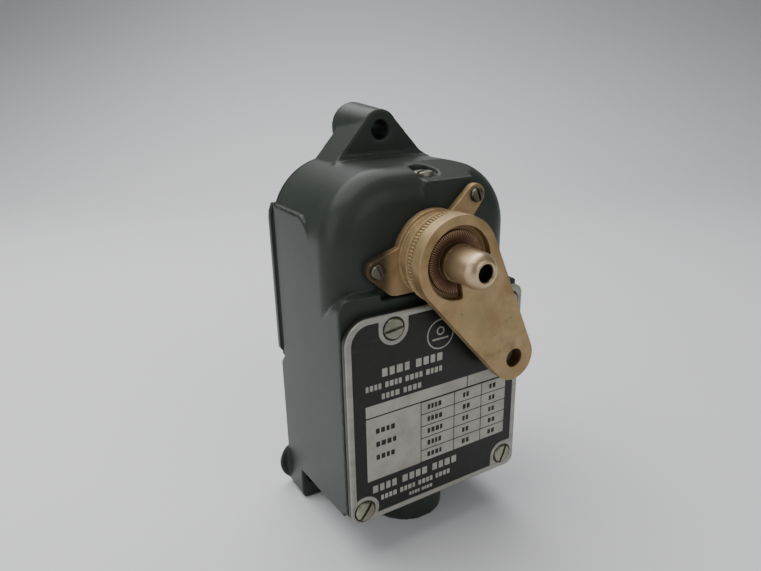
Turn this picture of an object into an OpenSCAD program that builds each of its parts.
// Heavy-duty lever limit switch: a die-cast case with a contact chamber at the front and a mechanism
// chamber in the head, a bronze lever on a serrated hub, and a slide that works the contacts.
// +Z is up and the cover faces -Y. The part stands on its conduit hub and its two lower lugs.
// Inside place(), y is the distance behind the cover's front face.

/* [Case] */
// Width of the case across its flat sides
case_w = 68; // [66:0.5:72]
// Height of the case floor above the surface it stands on
lug_drop = 16; // [15:0.5:18]
// Height of the front cover
cover_h = 71; // [70:0.5:72]
// Distance from the cover's front face to the mounting plane
mount_depth = 55; // [54:0.5:57]
// Height of the head's top above the case floor
head_h = 112; // [111:0.5:114]
// Radius of the head's two top corners
head_r = 22; // [20:0.5:23]
// Radius along the head's front edge
edge_r = 10; // [8:0.5:10]
// How far the head's front is set back from the cover's face
head_set = 6; // [5.8:0.1:6.2]

/* [Mounting] */
// Diameter of the three mounting holes
mount_hole_d = 6.5; // [5.5:0.1:7]
// Height of the ear's hole above the case floor
ear_hole_h = 121.3; // [120:0.1:123]
// Distance between the two lower mounting holes
lug_pitch = 57; // [54:0.5:58]
// Outer diameter of the conduit hub
hub_d = 28; // [26:0.5:30]
// Bore of the conduit hub's thread
conduit_d = 18.2; // [17:0.1:18.6]

/* [Lever] */
// Height of the shaft above the case floor
shaft_h = 86; // [85.5:0.1:87]
// Distance from the shaft to the hole at the lever's end
lever_len = 43; // [38:0.5:46]
// Angle of the lever from straight down, at rest
lever_tilt = 32.4; // [20:0.1:40]
// Diameter of the hole at the lever's end
lever_hole_d = 6.3; // [5:0.1:7]
// Radius of the lever's hub
hub_ring_r = 14.35; // [13.5:0.05:15]
// How far the hub nut's nose stands in front of the cover
nose_reach = 21.4; // [18:0.1:23]

/* [Mechanism] */
// Diameter of the shaft
shaft_d = 10; // [9:0.1:10]
// Distance from the shaft's axis to the crank's pin
crank_r = 8.5; // [8.2:0.1:8.8]
// Angle that the lever turns from rest to its stop
lever_swing = 60; // [40:1:60]

/* [Hidden] */
$fn = 64;
eps = 0.01;
run = 0.05; // running clearance on a radius
paint = "#5b605c";
silver = "#b9bab4";
bronze = "#9b7a52";
steel = "#9a9c9c";
brass = "#b8964f";
bakelite = "#3a2a20";
black = "#1c1e1a";
rubber = "#23221f";

// The frame: the box of the whole part is centred on x and y, and z = 0 is the surface it stands on
face_y = (nose_reach - mount_depth) / 2;
half_w = case_w / 2;
floor_z = lug_drop;
cover_top_z = floor_z + cover_h;
top_z = floor_z + head_h;
shaft_z = floor_z + shaft_h;
ear_z = floor_z + ear_hole_h;

// Depths behind the cover's face
field_y = 0.5; // the nameplate's seat
cover_back_y = 2.6;
case_front_y = 3.3;
wall_y = 11; // back of the head's front wall
head_back_y = mount_depth - 4.5;
plate_y = head_back_y + 0.9; // the rear cover's front
plate_t = 2.3;
box_back_y = mount_depth - 1.5;
chamber_back_y = 47;

// Heights of the chambers
wall = 5.5;
chamber_low_z = floor_z + wall;
chamber_top_z = cover_top_z - wall;
head_floor_z = cover_top_z + 1;
head_roof_z = top_z - 8;
ledge_z = cover_top_z + 5.5;
plate_low_z = floor_z + 41;
pad_top_z = floor_z + 97.7;

// Mounting ear, lugs and conduit hub. The underside slopes down from the front rim to the lugs
rim_y = 6;
belly_z = floor_z - 2.9;
ear_front_y = 35;
lug_front_y = 41;
lug_at = [for (s = [-1, 1]) [s * lug_pitch / 2, lug_drop - 7]];
hub_y = 22.5;

// Plug in the top, on a flat that slopes down to the front
plug_at = [2, 13];
plug_seat_z = top_z - 3.4;
flat_x = -2; // the flat's left edge
flat_back_y = plug_at[1] + 7;
flat_slope = 0.3;

// Front cover: half width, border, screw places [x, z, slot angle]
cover_half = half_w - 0.2;
cover_low_z = floor_z + 0.2;
border = 1.9;
cover_screw_at = [
    [-17.2, cover_top_z - 5, 8],
    [-29, cover_low_z + 4.2, 52],
    [28.5, cover_low_z + 5.4, 68],
    [28.5, cover_top_z - 5.6, 62]
];
lobe_r = 5.3;
cover_head_r = 3.5;

// Rear cover screws
rear_corner = half_w - head_r;
rear_screw_r = head_r - 5;
rear_screw_at = [
    for (s = [-1, 1]) [s * (rear_corner + rear_screw_r * cos(45)), top_z - head_r + rear_screw_r * sin(45)],
    for (s = [-1, 1]) [s * (half_w - 4.5), plate_low_z + 6]
];

// Bearing flange: its two ears, as [distance from the shaft, direction]
flange_ears = [[21, 186], [22.6, 47.5]];
flange_toe = [-15.2, -8.6]; // the plate's low left corner
flange_low = -11; // its flat lower edge
flange_y = 3;
spigot_r = 9;
collar_r = 13;

// Shaft line: depths of the rotating pieces
lever_front_y = -9.5;
lever_back_y = -5;
pocket_y = -6.9;
pocket_in_r = 5.8;
pocket_out_r = 11.3;
web_half_angle = 25;
disc_back_y = -1.6;
stud_r = 3;
shaft_r = shaft_d / 2;
nose_r = 5.5;
crank_y = [13, 18];
shaft_end_y = 18.2;
roller_y = [18.7, 24];
pin_r = 2;
roller_r = 3.6;
swing_travel = 2 * crank_r * sin(lever_swing / 2);

// Slide: the yoke's slot is level with the crank pin at rest
pin_x = crank_r * cos(lever_swing / 2);
pin_z = shaft_z + crank_r * sin(lever_swing / 2);
slot_half = roller_r + 0.12;
rod_r = 3;
rod_y = (roller_y[0] + roller_y[1]) / 2;
carrier_z = [floor_z + 42, floor_z + 54];
carrier_half = 13.5;
bridge_z = [floor_z + 46, floor_z + 47.2];
bridge_half = 22;
contact_x = 19;
contact_y = 23.5;
tip_h = 1;
tip_r = 2;
touch = 0.05; // gap left between closed contacts
arm_t = 1.6;
upper_arm_z = bridge_z[1] + 2 * tip_h + touch;
lower_arm_z = bridge_z[0] - 2 * tip_h - touch - swing_travel;
seat_z = floor_z + 20;
spring_r = 4.6;
spring_wire_r = 0.5;
spring_turns = 7;
base_y = [40, chamber_back_y - 0.1];
base_half = 25;
base_z = [floor_z + 18, floor_z + 63];
base_screw_at = [[-20, floor_z + 22.5], [20, floor_z + 59]];
ground_at = [21, floor_z + 11];

// ---- Helpers --------------------------------------------------------------------------------------

module place() {
    translate([0, face_y, 0]) children();
}

// A flat shape drawn in x and z, between two depths
module slab(y0, y1) {
    translate([0, y1, 0]) rotate([90, 0, 0]) linear_extrude(y1 - y0) children();
}

// A flat shape drawn in y and z, across a width centred on x
module across(w) {
    translate([-w / 2, 0, 0]) rotate([90, 0, 90]) linear_extrude(w) children();
}

module rod(at, r, y0, y1) {
    translate([at[0], y1, at[1]]) rotate([90, 0, 0]) cylinder(r = r, h = y1 - y0);
}

module post(x, y, r, z0, z1) {
    translate([x, y, z0]) cylinder(r = r, h = z1 - z0);
}

module block(lo, hi) {
    translate(lo) cube(hi - lo);
}

// A rectangle with its own radius at each corner: [low left, low right, top right, top left]
module round_rect(x0, z0, x1, z1, r) {
    polygon([
        [x0 + r[0], z0], [x1 - r[1], z0], [x1, z0 + r[1]], [x1, z1 - r[2]],
        [x1 - r[2], z1], [x0 + r[3], z1], [x0, z1 - r[3]], [x0, z0 + r[0]]
    ]);
    translate([x0 + r[0], z0 + r[0]]) circle(r[0]);
    translate([x1 - r[1], z0 + r[1]]) circle(r[1]);
    translate([x1 - r[2], z1 - r[2]]) circle(r[2]);
    translate([x0 + r[3], z1 - r[3]]) circle(r[3]);
}

// Two discs and the straight belt round them, between two depths
module belt(a, ra, b, rb, y0, y1) {
    len = norm(b - a);
    dir = atan2(b[1] - a[1], b[0] - a[0]);
    off = acos((ra - rb) / len);
    // The straights lie a hair inside the tangents, so that they cross the discs cleanly
    in = 0.003;
    rod(a, ra, y0, y1);
    rod(b, rb, y0, y1);
    slab(y0, y1) polygon([
        for (s = [-1, 1]) a + (ra - in) * [cos(dir + s * off), sin(dir + s * off)],
        for (s = [1, -1]) b + (rb - in) * [cos(dir + s * off), sin(dir + s * off)]
    ]);
}

// A slotted screw along y: head between y0 and y1, shank on to y2
module y_screw(at, head_r, shank_r, y0, y1, y2, slot_angle) {
    difference() {
        rod(at, head_r, y0, y1);
        translate([at[0], y0, at[1]]) rotate([0, -slot_angle, 0])
            cube([2 * head_r + 1, 1.4, 0.9], center = true);
    }
    rod(at, shank_r, y1 - eps, y2);
}

// ---- Case -----------------------------------------------------------------------------------------

// The head's outline, shrunk by an inset
module head_outline(inset, low_z) {
    r = head_r - inset;
    round_rect(-half_w + inset, low_z, half_w - inset, top_z - inset, [eps, eps, r, r]);
}

// A quarter-rounded front edge: depth on x, height or radius on y
module edge_profile(len) {
    translate([head_set + edge_r, 0]) square([head_back_y - head_set - edge_r, len]);
    translate([head_set, 0]) square([edge_r + eps, len - edge_r]);
    translate([head_set + edge_r, len - edge_r]) circle(edge_r);
}

module head_solid() {
    low = cover_top_z - 8;
    side_h = top_z - head_r - low;
    // Between the corners
    translate([0, 0, low]) across(2 * rear_corner) edge_profile(top_z - low);
    // The two round corners
    for (s = [-1, 1]) {
        translate([s * rear_corner, 0, top_z - head_r]) rotate([-90, 0, 0])
            rotate_extrude() intersection() {
                mirror([1, -1]) edge_profile(head_r);
                square([head_r + 1, head_back_y + 1]);
            }
    }
    // The straight sides below them
    translate([0, 0, low]) linear_extrude(side_h) {
        translate([-half_w, head_set + edge_r]) square([case_w, head_back_y - head_set - edge_r]);
        translate([-half_w + edge_r, head_set]) square([case_w - 2 * edge_r, edge_r + eps]);
        for (s = [-1, 1]) translate([s * (half_w - edge_r), head_set + edge_r]) circle(edge_r);
    }
}

// The front's outline: the ledge over the cover is round at its left end and stops short of the right side
module front_outline() {
    round_rect(-half_w, floor_z, half_w, cover_top_z + 0.8, [3.5, 3.5, 0.8, eps]);
    round_rect(-half_w, cover_top_z - 4, 17, ledge_z + 0.6, [eps, eps, 2, 5]);
}

// Height of the plug's flat at a depth
function flat_at(y) = top_z - flat_slope * (flat_back_y - y);

function underside_at(y) = floor_z + (belly_z - floor_z) * (y - rim_y) / (lug_front_y - rim_y);

module box_solid() {
    low_z = cover_top_z - 5.5;
    intersection() {
        across(case_w) polygon([
            [case_front_y, floor_z], [case_front_y, ledge_z], [head_set, ledge_z + 0.6],
            [head_set + edge_r + 1, low_z], [head_back_y, low_z],
            [head_back_y, plate_low_z], [box_back_y, plate_low_z - 3], [box_back_y, floor_z]
        ]);
        slab(0, mount_depth) front_outline();
    }
    // Behind the front rim: square lower corners and the sloping underside
    across(case_w) polygon([
        [rim_y, floor_z], [lug_front_y, belly_z], [box_back_y, belly_z], [box_back_y, floor_z + 4],
        [rim_y, floor_z + 4]
    ]);
}

// Flat side pads that carry the sides up over the start of the round corners
module side_pads() {
    across(case_w) round_rect(22, cover_top_z - 10, head_back_y, pad_top_z, [1, 1, eps, 8]);
}

// The ear stands on the head's top. Its boss widens towards the mounting plane
module mounting_ear() color(paint) place() difference() {
    half = 18.5;
    toe_z = top_z - 2.8;
    union() {
        for (s = [-1, 1]) belt([0, ear_z], 6.6, [s * half, toe_z], 1, ear_front_y, head_back_y);
        slab(ear_front_y, head_back_y) polygon([[-half, toe_z], [half, toe_z], [0, ear_z]]);
        translate([0, mount_depth, ear_z]) rotate([90, 0, 0])
            cylinder(r1 = 8.5, r2 = 6.7, h = mount_depth - ear_front_y);
        // The small hollow fillet at its foot
        intersection() {
            across(2 * half + 5) difference() {
                translate([ear_front_y - 2.5, toe_z]) square([2.6, 5.3]);
                translate([ear_front_y - 2.5, top_z + 2.5]) circle(2.5);
            }
            slab(30, ear_front_y + 1) polygon([
                [-half - 2.5, toe_z], [half + 2.5, toe_z], [half - 1.3, top_z + 0.6],
                [half - 3.7, top_z + 2.6], [-half + 3.7, top_z + 2.6], [-half + 1.3, top_z + 0.6]
            ]);
        }
    }
    slab(30, mount_depth + 1) head_outline(0, cover_top_z);
    rod([0, ear_z], mount_hole_d / 2, 30, mount_depth + 1);
}

// Two lugs under the case's back edge, each with a round pad on the mounting plane
module mounting_lugs() color(paint) place() difference() {
    lug_r = 8.6;
    foot_r = 5;
    corner_r = 2.2;
    union() {
        for (at = lug_at) {
            left = at[0] < 0;
            x0 = left ? -half_w : at[0] - lug_r;
            x1 = left ? at[0] + lug_r : half_w;
            // The foot is rounder at its inner end than at the case's side
            slab(lug_front_y, box_back_y + eps)
                round_rect(x0, 0, x1, belly_z, left ? [corner_r, foot_r, eps, eps] : [foot_r, corner_r, eps, eps]);
            rod(at, at[1], box_back_y, mount_depth);
        }
    }
    for (at = lug_at) rod(at, mount_hole_d / 2, lug_front_y - 1, mount_depth + 1);
}

// The hub and the part of the case's floor round it, as far as the front opening
module hub_solid() {
    r = hub_d / 2;
    post(0, hub_y, r, 0, chamber_low_z);
    across(2 * r) polygon([
        [case_front_y, floor_z], [rim_y, floor_z], [hub_y, underside_at(hub_y)], [hub_y, chamber_low_z],
        [case_front_y, chamber_low_z]
    ]);
}

module conduit_hub() color(paint) place() difference() {
    hub_solid();
    post(0, hub_y, conduit_d / 2, -1, chamber_low_z + 1);
}

module front_bosses() {
    for (p = cover_screw_at) rod([p[0], p[1]], 5, case_front_y, 18);
}

module housing() color(paint) place() {
    difference() {
        union() {
            difference() {
                union() {
                    difference() {
                        head_solid();
                        // Cut down to the plug's flat
                        translate([flat_x + case_w / 2, 0, 0]) across(case_w) polygon([
                            [0, flat_at(0)], [flat_back_y, flat_at(flat_back_y)],
                            [flat_back_y, top_z + 5], [0, top_z + 5]
                        ]);
                    }
                    box_solid();
                    side_pads();
                    // Filled up to the flat over the bearing flange
                    translate([flat_x + 9.3, 0, 0]) across(18.6) polygon([
                        [head_set, ledge_z], [head_set, flat_at(head_set)],
                        [plug_at[1], flat_at(plug_at[1])], [plug_at[1], ledge_z]
                    ]);
                }
                // Contact chamber, open at the front
                slab(case_front_y - 1, chamber_back_y)
                    round_rect(-28.5, chamber_low_z, 28.5, chamber_top_z, [3, 3, 3, 3]);
                // Mechanism chamber, open at the back
                slab(wall_y, head_back_y + 1) {
                    round_rect(-26, head_floor_z, 26, head_roof_z, [2, 2, head_r - 8, head_r - 8]);
                }
            }
            intersection() {
                front_bosses();
                slab(0, 20) front_outline();
            }
        }
        // Seat of the bearing flange, let in to the ledge
        block([-19.5, 0, cover_top_z + 3.3], [30, head_set, ledge_z + 3]);
        rod([0, shaft_z], spigot_r + run, head_set - 1, wall_y + 1);
        for (e = flange_ears) rod([0, shaft_z] + ear_at(e), 1.55, head_set - 1, wall_y + 1);
        // Cover screws, rear cover screws and the plug in the top
        for (p = cover_screw_at) rod([p[0], p[1]], 2.05, case_front_y - 1, 15);
        for (p = rear_screw_at) rod(p, 2.05, head_back_y - 10, head_back_y + 5);
        post(plug_at[0], plug_at[1], 2.05, head_roof_z - 1, top_z);
        post(plug_at[0], plug_at[1], 4.8, plug_seat_z, top_z + 1);
        // Slide's guide, and the notch that the conduit hub fills
        post(0, rod_y, 5.02, chamber_top_z - 1, head_floor_z + 1);
        post(0, hub_y, hub_d / 2, belly_z - 1, chamber_low_z + eps);
        block([-hub_d / 2, 0, belly_z - 1], [hub_d / 2, hub_y, chamber_low_z + eps]);
        // Screws of the contact base and the ground screw
        for (p = concat(base_screw_at, [ground_at])) rod(p, 1.8, chamber_back_y - 1, chamber_back_y + 3);
    }
}

// ---- Covers ---------------------------------------------------------------------------------------

module cover_outline(inset) {
    r = max(3.5 - inset, 0.8);
    round_rect(
        -cover_half + inset, cover_low_z + inset, cover_half - inset, cover_top_z - inset, [r, r, r, 8 - inset]
    );
}

// The swellings of the border round the four screws
module cover_lobes(grow) {
    r = lobe_r + grow;
    for (i = [1, 2, 3]) {
        p = cover_screw_at[i];
        x_edge = sign(p[0]) * cover_half;
        z_edge = i == 3 ? cover_top_z : cover_low_z;
        translate([p[0], p[1]]) circle(r);
        translate([min(p[0], x_edge), min(p[1] - r, z_edge)])
            square([abs(x_edge - p[0]), i == 3 ? z_edge - p[1] + r : p[1] + r - z_edge]);
        translate([min(p[0] - r, x_edge), min(p[1], z_edge)])
            square([i == 1 ? p[0] + r - x_edge : x_edge - p[0] + r, abs(z_edge - p[1])]);
    }
    top = cover_screw_at[0];
    translate([top[0], top[1]]) circle(r);
    translate([top[0] - r, top[1]]) square([2 * r, cover_top_z - top[1]]);
}

module cover() color(silver) place() difference() {
    union() {
        slab(field_y, cover_back_y) cover_outline(0);
        slab(0, field_y + eps) {
            difference() {
                cover_outline(0);
                cover_outline(border);
            }
            intersection() {
                cover_outline(0);
                cover_lobes(0);
            }
        }
    }
    for (p = cover_screw_at) {
        rod([p[0], p[1]], 2.15, -1, cover_back_y + 1);
        rod([p[0], p[1]], cover_head_r + 0.35, -1, 0.9);
    }
}

module nameplate() color(black) place() slab(0.2, field_y) difference() {
    cover_outline(border + 0.08);
    cover_lobes(0.08);
}

module cover_gasket() color(rubber) place() slab(cover_back_y, case_front_y) difference() {
    cover_outline(0.5);
    difference() {
        round_rect(-28.5, chamber_low_z, 28.5, chamber_top_z, [3, 3, 3, 3]);
        for (p = cover_screw_at) translate([p[0], p[1]]) circle(4.6);
    }
    for (p = cover_screw_at) translate([p[0], p[1]]) circle(2.2);
}

module cover_screws() color(steel) place() {
    for (p = cover_screw_at) y_screw([p[0], p[1]], cover_head_r, 2, -0.7, 0.9, 13, p[2]);
}

// The cover stands a little proud of the case's flat sides, and a little inside its round top
module rear_cover() color(paint) place() difference() {
    low = plate_low_z + 0.4;
    proud = half_w + 0.7;
    side = [
        [half_w - 1, low], [proud, low + 2.6], [proud, pad_top_z - 5], [proud - 0.3, pad_top_z - 2.6],
        [half_w - 0.6, pad_top_z]
    ];
    union() {
        slab(plate_y, plate_y + plate_t) head_outline(1.1, low + 4);
        slab(plate_y, plate_y + plate_t)
            polygon([each side, for (i = [len(side) - 1:-1:0]) [-side[i][0], side[i][1]]]);
    }
    for (p = rear_screw_at) rod(p, 2.15, plate_y - 1, mount_depth);
}

module rear_gasket() color(rubber) place() slab(head_back_y, plate_y) difference() {
    head_outline(0.1, plate_low_z + 0.5);
    round_rect(-26, head_floor_z, 26, head_roof_z, [2, 2, head_r - 8, head_r - 8]);
    for (p = rear_screw_at) translate(p) circle(2.2);
}

module rear_screws() color(steel) place() {
    for (p = rear_screw_at) mirror([0, 1, 0])
        y_screw(p, 3.4, 2, -(plate_y + plate_t + 1.2), -(plate_y + plate_t), -(head_back_y - 8), 35);
}

module top_plug() color(steel) place() translate([plug_at[0], plug_at[1], plug_seat_z]) {
    head_h = 1.5;
    difference() {
        post(0, 0, 3.3, 0, head_h);
        translate([0, 0, head_h]) rotate([0, 0, 25]) cube([8, 0.9, 1.4], center = true);
    }
    post(0, 0, 2, head_roof_z + 0.5 - plug_seat_z, eps);
}

// ---- Bearing --------------------------------------------------------------------------------------

function ear_at(e) = e[0] * [cos(e[1]), sin(e[1])];

module flange_plate(y0, y1) difference() {
    union() {
        rod([0, 0], 14, y0, y1);
        belt([0, 0], 5.5, ear_at(flange_ears[1]), 3.4, y0, y1);
        belt([0, 0], 8, ear_at(flange_ears[0]), 3.3, y0, y1);
        belt(flange_toe, 2.3, ear_at(flange_ears[0]), 3.3, y0, y1);
        slab(y0, y1) polygon([[0, 0], ear_at(flange_ears[0]), flange_toe + [0, -2.3], [0, flange_low - 2.3]]);
    }
    block([-30, y0 - 1, -30], [30, y1 + 1, flange_low]);
    for (e = flange_ears) rod(ear_at(e), 1.55, y0 - 1, y1 + 1);
}

module bearing_flange() color(bronze) place() translate([0, 0, shaft_z]) difference() {
    union() {
        flange_plate(flange_y, head_set - 0.5);
        intersection() {
            rod([0, 0], collar_r, -1, flange_y + eps);
            block([-20, -5, flange_low], [20, 10, 20]);
        }
        rod([0, 0], spigot_r, head_set - 0.5 - eps, wall_y - 0.2);
    }
    rod([0, 0], 6.5, -2, wall_y);
    rod([0, 0], 8, -2, 1.5);
}

module flange_gasket() color(rubber) place() translate([0, 0, shaft_z]) difference() {
    flange_plate(head_set - 0.5, head_set);
    rod([0, 0], spigot_r + run, head_set - 1, head_set + 1);
}

module flange_screws() color(steel) place() {
    for (e = flange_ears)
        y_screw([0, shaft_z] + ear_at(e), 2.4, 1.5, flange_y - 1.5, flange_y, wall_y - 0.4, 110);
}

module ring_y(at, r_in, r_out, y0, y1) {
    difference() {
        rod(at, r_out, y0, y1);
        rod(at, r_in, y0 - 1, y1 + 1);
    }
}

module shaft_seal() color(rubber) place() ring_y([0, shaft_z], shaft_r + 0.08, 7.95, -0.9, 1.4);

module shaft_bushing() color(brass) place() ring_y([0, shaft_z], shaft_r + run, 6.47, 1.6, wall_y - 0.2);

module thrust_washer() color(brass) place() ring_y([0, shaft_z], shaft_r + 0.08, 8.4, wall_y - 0.1, wall_y + 0.7);

// ---- Lever and shaft ------------------------------------------------------------------------------

module key_box(grow) {
    block([-1 - grow, lever_back_y + 0.6 - grow, shaft_r - 1.2 - grow], [1 + grow, -2 + grow, shaft_r + 1.1 + grow]);
}

module shaft() color(steel) place() translate([0, 0, shaft_z]) difference() {
    union() {
        rod([0, 0], shaft_r, lever_back_y + 0.1, shaft_end_y);
        rod([0, 0], stud_r, -16, lever_back_y + 0.2);
    }
    key_box(0);
    // Groove of the retaining ring
    ring_y([0, 0], shaft_r - 0.6, shaft_r + 1, wall_y + 0.75, wall_y + 1.85);
    cross_bore();
}

module drive_disc() color(bronze) place() translate([0, 0, shaft_z]) difference() {
    ring_y([0, 0], shaft_r + run, hub_ring_r - 0.05, lever_back_y + 0.02, disc_back_y);
    block([-1.03, lever_back_y - 1, 0], [1.03, disc_back_y + 1, shaft_r + 1.2]);
}

module drive_key() color(steel) place() translate([0, 0, shaft_z]) key_box(-0.02);

module lever() color(bronze) place() translate([0, 0, shaft_z]) rotate([0, 90 - lever_tilt, 0]) difference() {
    belt([0, 0], hub_ring_r, [lever_len, 0], 8, lever_front_y, lever_back_y);
    // Hub pocket, left full where the web joins the arm
    slab(lever_front_y - 1, pocket_y) difference() {
        circle(pocket_out_r);
        circle(pocket_in_r);
        polygon([[0, 0], 20 * [cos(web_half_angle), -sin(web_half_angle)],
            20 * [cos(web_half_angle), sin(web_half_angle)]]);
    }
    rod([0, 0], nose_r + run, lever_front_y - 1, pocket_y);
    rod([0, 0], stud_r + run, lever_front_y - 1, lever_back_y + 1);
    rod([lever_len, 0], lever_hole_d / 2, lever_front_y - 1, lever_back_y + 1);
}

module serrated_washer() color(bronze) place() translate([0, 0, shaft_z]) rotate([0, 90 - lever_tilt, 0])
    slab(pocket_y - 0.9, pocket_y - eps) difference() {
        circle(9.8);
        circle(pocket_in_r + 0.3);
        polygon([[0, 0], 20 * [cos(web_half_angle + 2), -sin(web_half_angle + 2)],
            20 * [cos(web_half_angle + 2), sin(web_half_angle + 2)]]);
    }

module hub_nut() color(bronze) place() translate([0, 0, shaft_z]) difference() {
    translate([0, pocket_y - 0.02, 0]) rotate([90, 0, 0]) rotate_extrude() polygon([
        [0, 0], [nose_r, 0], [nose_r, nose_reach + pocket_y - 2.2], [nose_r - 0.6, nose_reach + pocket_y - 0.8],
        [nose_r - 1.9, nose_reach + pocket_y - 0.02], [0, nose_reach + pocket_y - 0.02]
    ]);
    rod([0, 0], 2.4, -nose_reach - 1, -16);
    rod([0, 0], stud_r + run, -16.2, lever_back_y);
}

module retaining_ring() color(steel) place() translate([0, 0, shaft_z]) difference() {
    ring_y([0, 0], shaft_r - 0.55, shaft_r + 1.8, wall_y + 0.8, wall_y + 1.8);
    block([-1.5, 0, -10], [1.5, 20, -2]);
}

module cross_bore() {
    rotate([0, 120 - lever_swing / 2 - 90, 0]) translate([0, (crank_y[0] + crank_y[1]) / 2, -20])
        cylinder(r = 1.3, h = 40);
}

module crank() color(steel) place() translate([0, 0, shaft_z]) difference() {
    ring_y([0, 0], shaft_r + run, 12.5, crank_y[0], crank_y[1]);
    cross_bore();
    rod([pin_x, pin_z - shaft_z], pin_r + 0.02, crank_y[0] - 1, crank_y[1] + 1);
}

module cross_pin() color(steel) place() translate([0, 0, shaft_z]) rotate([0, 120 - lever_swing / 2 - 90, 0])
    translate([0, (crank_y[0] + crank_y[1]) / 2, -11.5]) cylinder(r = 1.27, h = 23);

module crank_pin() color(steel) place() rod([pin_x, pin_z], pin_r, crank_y[0] + 0.3, roller_y[1] + 0.8);

module crank_roller() color(brass) place() ring_y([pin_x, pin_z], pin_r + run, roller_r, roller_y[0], roller_y[1]);

// ---- Slide and contacts ---------------------------------------------------------------------------

module slide_yoke() color(steel) place() {
    difference() {
        block([-5, roller_y[0], pin_z - 8], [17, roller_y[1], pin_z + 8]);
        block([pin_x - roller_r - 0.8, roller_y[0] - 1, pin_z - slot_half],
            [crank_r + roller_r + 0.8, roller_y[1] + 1, pin_z + slot_half]);
    }
    post(0, rod_y, rod_r, carrier_z[1] - 6, pin_z - 8 + eps);
}

module guide_bushing() color(brass) place() difference() {
    post(0, rod_y, 5, chamber_top_z, head_floor_z);
    post(0, rod_y, rod_r + run, chamber_top_z - 1, head_floor_z + 1);
}

module contact_carrier() color(bakelite) place() difference() {
    block([-carrier_half, 14, carrier_z[0]], [carrier_half, 29, carrier_z[1]]);
    post(0, rod_y, rod_r + 0.02, carrier_z[1] - 6.05, carrier_z[1] + 1);
    block([-carrier_half - 1, 20.4, bridge_z[0] - 0.05], [carrier_half + 1, 26.6, bridge_z[1] + 0.05]);
}

module contact_bridge() color(brass) place() {
    block([-bridge_half, 20.5, bridge_z[0]], [bridge_half, 26.5, bridge_z[1]]);
}

module bridge_tips() color(silver) place() {
    for (s = [-1, 1]) {
        post(s * contact_x, contact_y, tip_r, bridge_z[1], bridge_z[1] + tip_h);
        post(s * contact_x, contact_y, tip_r, bridge_z[0] - tip_h, bridge_z[0]);
    }
}

// A coil from the seat to the carrier, swept round by a ring of points at each step
module return_spring() color(steel) place() translate([0, rod_y, 0]) {
    sides = 6;
    steps = 16 * spring_turns;
    low = seat_z + spring_wire_r + touch;
    rise = carrier_z[0] - touch - spring_wire_r - low;
    pts = [
        for (i = [0:steps], k = [0:sides - 1])
            let (a = 360 * i / 16, b = 360 * k / sides, r = spring_r + spring_wire_r * cos(b))
            [r * cos(a), r * sin(a), low + rise * i / steps + spring_wire_r * sin(b)]
    ];
    walls = [
        for (i = [0:steps - 1], k = [0:sides - 1])
            [i * sides + k, i * sides + (k + 1) % sides, (i + 1) * sides + (k + 1) % sides, (i + 1) * sides + k]
    ];
    ends = [[for (k = [sides - 1:-1:0]) k], [for (k = [0:sides - 1]) steps * sides + k]];
    polyhedron(pts, concat(walls, ends));
}

module contact_base() color(bakelite) place() difference() {
    union() {
        block([-base_half, base_y[0], base_z[0]], [base_half, base_y[1], base_z[1]]);
        block([-8, 13, seat_z - 4], [8, base_y[0] + eps, seat_z]);
        // Barriers between the left and right contacts and the wall behind them
        for (s = [-1, 1]) block([s * 14.6 - 0.6, 31, lower_arm_z - 6], [s * 14.6 + 0.6, base_y[0] + eps, base_z[1]]);
    }
    for (p = base_screw_at) rod(p, 2, base_y[0] - 1, base_y[1] + 1);
}

// The bar of one fixed contact, from the base to its terminal
module contact_arm(s, z) {
    block([s * contact_x - 3, 10, z], [s * contact_x + 3, base_y[0] - eps, z + arm_t]);
}

module fixed_contacts() color(brass) place() difference() {
    for (s = [-1, 1]) {
        contact_arm(s, upper_arm_z);
        contact_arm(s, lower_arm_z - arm_t);
    }
    for (s = [-1, 1]) post(s * contact_x, 14, 1.65, lower_arm_z - 4, upper_arm_z + 4);
}

module fixed_tips() color(silver) place() {
    for (s = [-1, 1]) {
        post(s * contact_x, contact_y, tip_r, upper_arm_z - tip_h, upper_arm_z);
        post(s * contact_x, contact_y, tip_r, lower_arm_z, lower_arm_z + tip_h);
    }
}

module terminal_screws() color(steel) place() {
    for (s = [-1, 1], z = [upper_arm_z + arm_t, lower_arm_z]) {
        difference() {
            post(s * contact_x, 14, 2.9, z, z + 1.8);
            translate([s * contact_x, 14, z + 1.8]) cube([8, 0.8, 1.6], center = true);
        }
        post(s * contact_x, 14, 1.6, z - 4, z + eps);
    }
}

module base_screws() color(steel) place() {
    for (p = base_screw_at) y_screw(p, 3.2, 1.75, base_y[0] - 1.8, base_y[0], chamber_back_y + 2.8, 30);
}

module ground_screw() color("#4f7a4a") place() {
    y_screw(ground_at, 3.6, 1.75, chamber_back_y - 2.2, chamber_back_y, chamber_back_y + 2.8, 70);
}

// ---- Nodes ----------------------------------------------------------------------------------------

housing();
mounting_ear();
mounting_lugs();
conduit_hub();
cover();
nameplate();
cover_gasket();
cover_screws();
rear_cover();
rear_gasket();
rear_screws();
top_plug();
bearing_flange();
flange_gasket();
flange_screws();
shaft_seal();
shaft_bushing();
thrust_washer();
shaft();
drive_disc();
drive_key();
lever();
serrated_washer();
hub_nut();
retaining_ring();
crank();
cross_pin();
crank_pin();
crank_roller();
slide_yoke();
guide_bushing();
contact_carrier();
contact_bridge();
bridge_tips();
return_spring();
contact_base();
fixed_contacts();
fixed_tips();
terminal_screws();
base_screws();
ground_screw();
